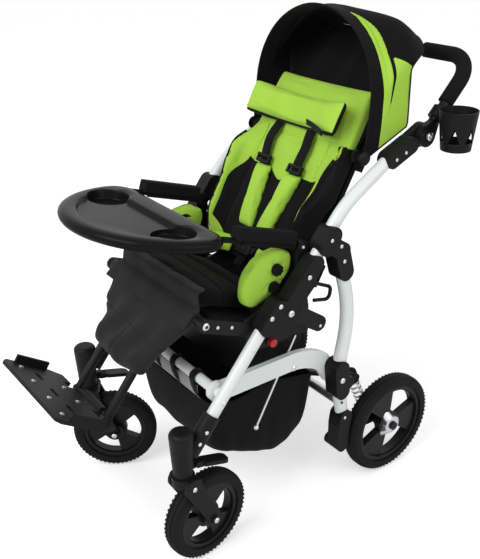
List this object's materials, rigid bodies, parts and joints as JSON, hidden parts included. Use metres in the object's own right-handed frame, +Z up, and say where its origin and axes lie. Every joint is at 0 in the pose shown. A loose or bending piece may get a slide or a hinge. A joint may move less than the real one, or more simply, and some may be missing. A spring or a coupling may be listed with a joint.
{
  "type": "special needs buggy",
  "caption": "Folding special needs buggy with white tube frame, swivel castors, sprung rear wheels, tilting padded seat, hood, tray, leg rest and push bar",
  "frame": {"origin": "floor point under the middle of the object's bounding box", "axes": "+X to the buggy's left, +Y to the rear, +Z up; the child faces -Y"},
  "size_m": [0.557, 0.9947, 1.0614],
  "materials": {
    "frame_white": "smooth semi-gloss white enamel on tube",
    "tube_grey": "grey anodised tube",
    "bright_steel": "bright plated steel",
    "bar_black": "black powder coat",
    "black_plastic": "moulded black nylon with a fine grain",
    "tray_plastic": "charcoal moulded plastic, satin sheen",
    "tyre": "black foam filled rubber",
    "foam": "black foam sleeve",
    "green_cloth": "lime green woven polyester",
    "black_cloth": "black woven polyester",
    "grey_cloth": "dark grey coated fabric",
    "red_plastic": "red moulded plastic"
  },
  "bodies": {
    "front_frame": {"front_legs": "frame_white", "front_cross_tube": "frame_white", "joint_lowers": "black_plastic", "castor_housings": "black_plastic", "arch_link_left": "frame_white", "arch_link_right": "frame_white", "basket": "black_cloth"},
    "castor_left": {"castor_fork_left": "black_plastic"},
    "castor_right": {"castor_fork_right": "black_plastic"},
    "front_wheel_left": {"front_rim_left": "black_plastic", "front_tyre_left": "tyre"},
    "front_wheel_right": {"front_rim_right": "black_plastic", "front_tyre_right": "tyre"},
    "lock_left": {"castor_lock_left": "black_plastic"},
    "lock_right": {"castor_lock_right": "black_plastic"},
    "rear_frame": {"push_tube_left": "frame_white", "push_tube_right": "frame_white", "joint_uppers": "black_plastic", "leg_brackets": "black_plastic", "rear_leg_left": "frame_white", "rear_leg_right": "frame_white", "suspension_tops": "black_plastic", "suspension_feet": "black_plastic", "rear_cross_tube": "tube_grey", "handle_clamps": "black_plastic", "spring_left": "bright_steel", "spring_right": "bright_steel"},
    "swing_left": {"swing_arm_left": "bar_black"},
    "swing_right": {"swing_arm_right": "bar_black"},
    "rear_wheel_left": {"rear_rim_left": "black_plastic", "rear_tyre_left": "tyre"},
    "rear_wheel_right": {"rear_rim_right": "black_plastic", "rear_tyre_right": "tyre"},
    "handle": {"push_bar": "bar_black", "handle_grips": "foam", "cup_holder": "black_plastic"},
    "brake": {"brake_pedal": "black_plastic"},
    "seat": {"seat_frame": "bar_black", "seat_cushion": "black_cloth", "hip_guard_left": "green_cloth", "hip_guard_right": "green_cloth", "release_rod": "bright_steel"},
    "knob_left_upper": {"hip_knob_left_upper": "black_plastic"},
    "knob_left_lower": {"hip_knob_left_lower": "black_plastic"},
    "knob_right_upper": {"hip_knob_right_upper": "black_plastic"},
    "knob_right_lower": {"hip_knob_right_lower": "black_plastic"},
    "back": {"backrest_shell": "black_plastic", "backrest_pad": "green_cloth", "harness": "black_cloth", "headrest": "green_cloth", "hood_rear": "green_cloth"},
    "hood": {"hood_front": "black_cloth"},
    "legrest": {"legrest_frame": "bar_black", "calf_pad": "grey_cloth"},
    "footrest": {"footrest_tubes": "bar_black"},
    "foot": {"footplate": "black_plastic"},
    "arms": {"armrests": "black_plastic"},
    "tray_body": {"tray": "tray_plastic"},
    "loop": {"release_loop": "black_plastic"},
    "tilt_button": {"tilt_knob": "red_plastic"}
  },
  "joints": [
    {"name": "frame_fold", "type": "hinge", "parent": "front_frame", "child": "rear_frame", "pos_m": [-0.028, -0.02183, 0.514], "axis": [-1, 0, 0], "range_deg": [0, 33], "deforming": ["basket"]},
    {"name": "castor_swivel_left", "type": "hinge", "parent": "front_frame", "child": "castor_left", "pos_m": [0.18, -0.27983, 0.3], "axis": [0, 0, 1], "continuous": true},
    {"name": "front_wheel_spin_left", "type": "hinge", "parent": "castor_left", "child": "front_wheel_left", "pos_m": [0.17354, -0.22723, 0.1], "axis": [0.9925, 0.1219, 0], "continuous": true},
    {"name": "castor_lock_tip_left", "type": "hinge", "parent": "front_frame", "child": "lock_left", "pos_m": [0.18, -0.24783, 0.243], "axis": [1, 0, 0], "range_deg": [0, 20]},
    {"name": "castor_swivel_right", "type": "hinge", "parent": "front_frame", "child": "castor_right", "pos_m": [-0.236, -0.27983, 0.3], "axis": [0, 0, 1], "continuous": true},
    {"name": "front_wheel_spin_right", "type": "hinge", "parent": "castor_right", "child": "front_wheel_right", "pos_m": [-0.20713, -0.23538, 0.1], "axis": [0.8387, -0.5446, 0], "continuous": true},
    {"name": "castor_lock_tip_right", "type": "hinge", "parent": "front_frame", "child": "lock_right", "pos_m": [-0.236, -0.24783, 0.243], "axis": [1, 0, 0], "range_deg": [0, 20]},
    {"name": "suspension_left", "type": "hinge", "parent": "rear_frame", "child": "swing_left", "pos_m": [0.18, 0.13617, 0.118], "axis": [1, 0, 0], "range_deg": [0, 6], "stiffness_Nm_per_rad": 200, "springref_deg": -4.58, "deforming": ["spring_left"]},
    {"name": "rear_wheel_spin_left", "type": "hinge", "parent": "swing_left", "child": "rear_wheel_left", "pos_m": [0.194, 0.28017, 0.123], "axis": [1, 0, 0], "continuous": true},
    {"name": "suspension_right", "type": "hinge", "parent": "rear_frame", "child": "swing_right", "pos_m": [-0.236, 0.13617, 0.118], "axis": [1, 0, 0], "range_deg": [0, 6], "stiffness_Nm_per_rad": 200, "springref_deg": -4.58, "deforming": ["spring_right"]},
    {"name": "rear_wheel_spin_right", "type": "hinge", "parent": "swing_right", "child": "rear_wheel_right", "pos_m": [-0.25, 0.28017, 0.123], "axis": [1, 0, 0], "continuous": true},
    {"name": "handle_angle", "type": "hinge", "parent": "rear_frame", "child": "handle", "pos_m": [-0.028, 0.34417, 0.809], "axis": [1, 0, 0], "range_deg": [-110, 5]},
    {"name": "brake_pedal_lift", "type": "hinge", "parent": "rear_frame", "child": "brake", "pos_m": [-0.028, 0.13967, 0.229], "axis": [1, 0, 0], "range_deg": [0, 15]},
    {"name": "seat_tilt", "type": "hinge", "parent": "front_frame", "child": "seat", "pos_m": [-0.028, -0.02183, 0.514], "axis": [1, 0, 0], "range_deg": [0, 20]},
    {"name": "backrest_recline", "type": "hinge", "parent": "seat", "child": "back", "pos_m": [-0.028, 0.03817, 0.5], "axis": [1, 0, 0], "range_deg": [0, 30]},
    {"name": "hood_fold", "type": "hinge", "parent": "back", "child": "hood", "pos_m": [-0.028, 0.20017, 0.78], "axis": [-1, 0, 0], "range_deg": [0, 24]},
    {"name": "legrest_swing", "type": "hinge", "parent": "seat", "child": "legrest", "pos_m": [-0.028, -0.19878, 0.52657], "axis": [-1, 0, 0], "range_deg": [0, 50]},
    {"name": "footrest_slide", "type": "slide", "parent": "legrest", "child": "footrest", "axis": [0, -0.6293, -0.7771], "range_m": [-0.025, 0.05]},
    {"name": "footplate_flip", "type": "hinge", "parent": "footrest", "child": "foot", "pos_m": [-0.028, -0.36492, 0.3214], "axis": [-1, 0, 0], "range_deg": [0, 55]},
    {"name": "armrest_swing", "type": "hinge", "parent": "seat", "child": "arms", "pos_m": [-0.028, 0.04017, 0.628], "axis": [1, 0, 0], "range_deg": [-60, 0]},
    {"name": "tray_slide", "type": "slide", "parent": "arms", "child": "tray_body", "axis": [0, -0.9511, 0.309], "range_m": [0, 0.08]},
    {"name": "release_loop_lift", "type": "hinge", "parent": "seat", "child": "loop", "pos_m": [0.158, 0.06617, 0.541], "axis": [1, 0, 0], "range_deg": [0, 15]},
    {"name": "tilt_knob_press", "type": "slide", "parent": "seat", "child": "tilt_button", "axis": [-1, 0, 0], "range_m": [0, 0.003], "stiffness_N_per_m": 300},
    {"name": "hip_knob_turn_left_upper", "type": "hinge", "parent": "seat", "child": "knob_left_upper", "pos_m": [0.152, -0.01983, 0.592], "axis": [1, 0, 0], "continuous": true},
    {"name": "hip_knob_turn_left_lower", "type": "hinge", "parent": "seat", "child": "knob_left_lower", "pos_m": [0.152, -0.02783, 0.556], "axis": [1, 0, 0], "continuous": true},
    {"name": "hip_knob_turn_right_upper", "type": "hinge", "parent": "seat", "child": "knob_right_upper", "pos_m": [-0.208, -0.01983, 0.592], "axis": [1, 0, 0], "continuous": true},
    {"name": "hip_knob_turn_right_lower", "type": "hinge", "parent": "seat", "child": "knob_right_lower", "pos_m": [-0.208, -0.02783, 0.556], "axis": [1, 0, 0], "continuous": true}
  ]
}
